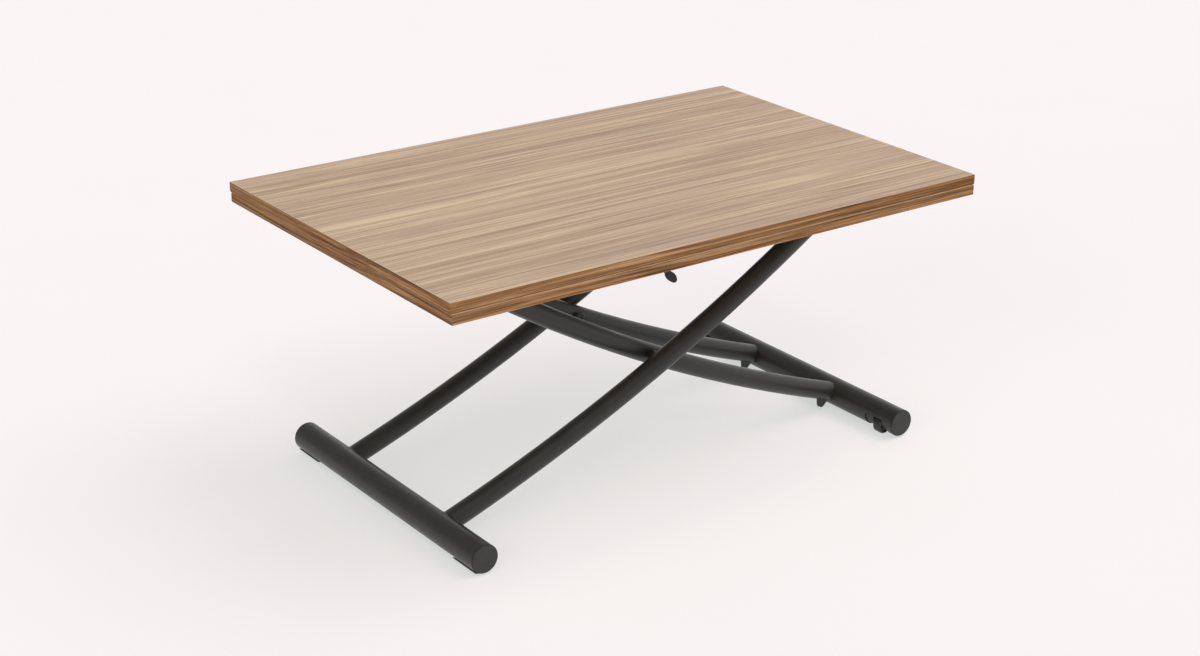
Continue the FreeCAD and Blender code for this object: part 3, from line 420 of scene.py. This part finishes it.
def add_surround():
    """Soft light from all round, with a brighter band low down on the right, like a lit wall.

    Past the floor's edge the camera sees a backdrop in the floor's tone.
    """
    world = bpy.data.worlds.new("studio")
    bpy.context.scene.world = world
    world.use_nodes = True
    nodes, links = world.node_tree.nodes, world.node_tree.links

    def band(source, limits, start, end):
        node = nodes.new("ShaderNodeMapRange")
        node.interpolation_type = "SMOOTHSTEP"
        links.new(source, node.inputs[0])
        for index, number in enumerate((*limits, start, end)):
            node.inputs[1 + index].default_value = number
        return node.outputs[0]

    ways = nodes.new("ShaderNodeSeparateXYZ")
    links.new(nodes.new("ShaderNodeTexCoord").outputs["Generated"], ways.inputs[0])
    wall = nodes.new("ShaderNodeMath")
    wall.operation = "MULTIPLY_ADD"
    links.new(band(ways.outputs[0], WALL_SIDE, 0.0, WALL_LIGHT), wall.inputs[0])
    links.new(band(ways.outputs[2], WALL_TOP, 1.0, 0.0), wall.inputs[1])
    wall.inputs[2].default_value = ROUND_LIGHT
    surround = nodes["Background"]
    surround.inputs["Color"].default_value = ROUND_COLOUR
    links.new(wall.outputs[0], surround.inputs["Strength"])

    backdrop = nodes.new("ShaderNodeBackground")
    backdrop.inputs["Color"].default_value = BACKDROP
    choice = nodes.new("ShaderNodeMixShader")
    links.new(nodes.new("ShaderNodeLightPath").outputs["Is Camera Ray"], choice.inputs[0])
    links.new(surround.outputs[0], choice.inputs[1])
    links.new(backdrop.outputs[0], choice.inputs[2])
    links.new(choice.outputs[0], nodes["World Output"].inputs["Surface"])


def span(node):
    """Lowest and highest corner of a node at rest."""
    corners = [NODES[node].matrix_world @ Vector(corner) for corner in NODES[node].bound_box]
    return tuple(Vector(pick(values) for values in zip(*corners)) for pick in (min, max))


def loft(loops):
    """Points and faces of a closed ring of loops with equal counts."""
    size, count = len(loops[0]), len(loops)
    points = [point for loop in loops for point in loop]
    faces = []
    for ring in range(count):
        here, there = ring * size, (ring + 1) % count * size
        for step in range(size):
            after = (step + 1) % size
            faces.append((here + step, here + after, there + after, there + step))
    return points, faces


def piece(name, shapes, slot, body):
    """One object from several lists of points and faces, riding on a body."""
    points, faces = [], []
    for shape_points, shape_faces in shapes:
        base = len(points)
        points.extend(shape_points)
        faces.extend(tuple(base + index for index in face) for face in shape_faces)
    mesh = bpy.data.meshes.new(name)
    mesh.from_pydata([tuple(point) for point in points], [], faces)
    shell = bmesh.new()
    shell.from_mesh(mesh)
    bmesh.ops.remove_doubles(shell, verts=shell.verts, dist=MERGE_GAP)
    bmesh.ops.recalc_face_normals(shell, faces=shell.faces)
    shell.to_mesh(mesh)
    shell.free()
    mesh.materials.append(MATERIALS[slot])
    thing = bpy.data.objects.new(name, mesh)
    bpy.context.scene.collection.objects.link(thing)
    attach(thing, body)
    return thing


def weld_ring(foot, leg_radius, bar_radius):
    """Hollow fillet of weld where a leg meets the round bar, as a ring of thin sections."""
    along = Vector((math.cos(LEG_FOOT_SLOPE), 0, math.sin(LEG_FOOT_SLOPE)))
    side = Vector((0, 1, 0))
    square = along.cross(side)
    loops = []
    for step in range(WELD_STEPS):
        turn = FULL_TURN * step / WELD_STEPS
        out = math.cos(turn) * side + math.sin(turn) * square

        def on_bar(reach):
            rise = math.sqrt(bar_radius ** 2 - (reach * math.sin(turn)) ** 2)
            return foot + along * rise + out * reach

        corner, low = on_bar(leg_radius), on_bar(leg_radius + WELD_REACH)
        high = corner + along * WELD_REACH
        loop = [corner - WELD_SINK * (along + out)]
        for index in range(WELD_FAN + 1):
            share = index / WELD_FAN
            loop.append(high.lerp(corner, share).lerp(corner.lerp(low, share), share))
        loops.append(loop)
    return loft(loops)


def add_leg_welds():
    """A fillet of weld at the foot of each outer leg."""
    low, high = span("fixed_bar")
    bar_radius = (high.z - low.z) / 2
    rings = []
    for node in ("outer_leg_front", "outer_leg_rear"):
        leg_low, leg_high = span(node)
        foot = Vector(JOINTS["lift"]["pos_m"])
        foot.y = (leg_low.y + leg_high.y) / 2
        rings.append(weld_ring(foot, (leg_high.y - leg_low.y) / 2, bar_radius))
    piece("leg_welds", rings, "dark_coat", "outer_legs").data.shade_smooth()


def bead(start, end):
    """Straight weld bead with the ripples of its passes and narrower ends."""
    count = max(BEAD_FEWEST, round((end - start).length / BEAD_PITCH))
    ahead = (end - start).normalized()
    side = ahead.orthogonal().normalized()
    up = ahead.cross(side)
    points, faces = [], []
    for index in range(count + 1):
        share = index / count
        ripple = 1.0 + BEAD_RIPPLE * (-1) ** index
        radius = BEAD_RADIUS * min(1.0, BEAD_END + BEAD_TAPER * min(share, 1 - share)) * ripple
        for step in range(BEAD_SIDES):
            turn = FULL_TURN * step / BEAD_SIDES
            points.append(start.lerp(end, share) + radius * (math.cos(turn) * side + math.sin(turn) * up))
    for index in range(count):
        for step in range(BEAD_SIDES):
            here, after = index * BEAD_SIDES + step, index * BEAD_SIDES + (step + 1) % BEAD_SIDES
            faces.append((here, after, after + BEAD_SIDES, here + BEAD_SIDES))
    faces.append(tuple(range(BEAD_SIDES)))
    faces.append(tuple(count * BEAD_SIDES + step for step in range(BEAD_SIDES)))
    return points, faces


def add_frame_welds():
    """Beads along the rails where they cross the beams, and up the ends of the ties."""
    beads = []
    for beam in ("beam_front", "beam_rear"):
        beam_low, beam_high = span(beam)
        for rail in ("rail_left", "rail_right"):
            rail_low, rail_high = span(rail)
            for x in (rail_low.x, rail_high.x):
                start, end = (Vector((x, y, beam_high.z)) for y in (beam_low.y, beam_high.y))
                beads.append(bead(start, end))
    for tie in ("end_tie", "spring_tie"):
        low, high = span(tie)
        for y in (low.y, high.y):
            beads.append(bead(Vector((low.x, y, low.z)), Vector((low.x, y, high.z))))
    piece("frame_welds", beads, "dark_coat", "top_frame").data.shade_smooth()


def cross_outline():
    """Corners of a screw's cross with square arms, in turn around its middle."""
    half = CROSS_WIDTH / 2
    arm = ((CROSS_REACH, -half), (CROSS_REACH, half), (half, half))
    corners = []
    for quarter in range(4):
        cosine, sine = math.cos(quarter * QUARTER_TURN), math.sin(quarter * QUARTER_TURN)
        corners += [(x * cosine - y * sine, x * sine + y * cosine) for x, y in arm]
    return corners


def screw_head(centre, up):
    """Flat screw head a little proud of its face, with the outline of its cross recess cut through."""
    loops = []
    for x, y in cross_outline():
        turn = math.atan2(y, x)
        rim_x, rim_y = SCREW_RADIUS * math.cos(turn), SCREW_RADIUS * math.sin(turn)
        section = [(rim_x, rim_y, 0.0), (SCREW_BEVEL * rim_x, SCREW_BEVEL * rim_y, SCREW_PROUD),
                   (x, y, SCREW_PROUD), (x, y, 0.0)]
        loops.append([centre + Vector((a, b, up * c)) for a, b, c in section])
    return loft(loops)


def painted_recess_shade(centre, up):
    """Painted shade in a screw's cross recess: a dark sheet just above the face, seen through the cut-out
    cross.
    """
    outline = cross_outline()
    low = [centre + Vector((x, y, 0)) for x, y in outline]
    high = [centre + Vector((x, y, up * RECESS_RISE)) for x, y in outline]
    count = len(outline)
    faces = [tuple(range(count)), tuple(range(count, 2 * count))]
    faces += [(i, (i + 1) % count, count + (i + 1) % count, count + i) for i in range(count)]
    return low + high, faces


def hinge_middles(node):
    """X of each hinge block in a node, from the separate stretches that its vertices fill."""
    xs = sorted({round(vertex.co.x, 5) for vertex in NODES[node].data.vertices})
    groups = [[xs[0]]]
    for x in xs[1:]:
        if x - groups[-1][-1] > 2 * SCREW_FROM_HINGE:
            groups.append([])
        groups[-1].append(x)
    return [(group[0] + group[-1]) / 2 for group in groups]


def add_hinge_screws():
    """Two countersunk screws in each hinge block, on the faces that meet when the top is folded."""
    for leaf, up in (("lower", 1), ("upper", -1)):
        node, body = f"{leaf}_hinge_blocks", f"{leaf}_leaf"
        low, high = span(node)
        z = high.z if up > 0 else low.z
        places = [Vector((middle + end * SCREW_FROM_HINGE, high.y - SCREW_FROM_EDGE, z))
                  for middle in hinge_middles(node) for end in (-1, 1)]
        heads = [screw_head(place, up) for place in places]
        # Painted shade: a dark sheet under each cut-out cross stands in for the shade of a deep recess
        shade_sheets = [painted_recess_shade(place, up) for place in places]
        piece(f"{leaf}_hinge_screws", heads, "hinge_metal", body)
        piece(f"{leaf}_painted_recess_shades", shade_sheets, "black_steel", body)


def socket_head(centre, outward, radius):
    """Low button on a bolt head: a ring from its rim over the dome to the floor of its hexagon socket."""
    dome = [(share * radius, rise) for share, rise in BUTTON_DOME]
    sixth = FULL_TURN / 6
    loops = []
    for step in range(BUTTON_SIDES):
        turn = FULL_TURN * step / BUTTON_SIDES
        wall = SOCKET_CORNER * math.cos(sixth / 2) / math.cos(turn % sixth - sixth / 2)
        socket = [(wall + SOCKET_RIM, SOCKET_TOP), (wall, SOCKET_EDGE), (wall, SOCKET_FLOOR),
                  (SOCKET_MIDDLE, SOCKET_FLOOR)]
        loops.append([centre + Vector((reach * math.cos(turn), outward * rise, reach * math.sin(turn)))
                      for reach, rise in dome + socket])
    return loft(loops)


def add_socket_heads():
    """Socket heads on the crossing bolts, which face the middle of the table."""
    low, high = span("crossing_bolts")
    radius = (high.z - low.z) / 2
    inner = min(abs(vertex.co.y) for vertex in NODES["crossing_bolts"].data.vertices)
    middle = (low + high) / 2
    heads = [socket_head(Vector((middle.x, -way * inner, middle.z)), way, radius) for way in (1, -1)]
    piece("socket_heads", heads, "black_steel", "outer_legs")


add_leg_welds()
add_frame_welds()
add_hinge_screws()
add_socket_heads()
add_camera()
add_floor()
add_surround()
for far_light in FAR_LIGHTS:
    add_far_light(*far_light)
bpy.context.scene.view_settings.view_transform = "Standard"
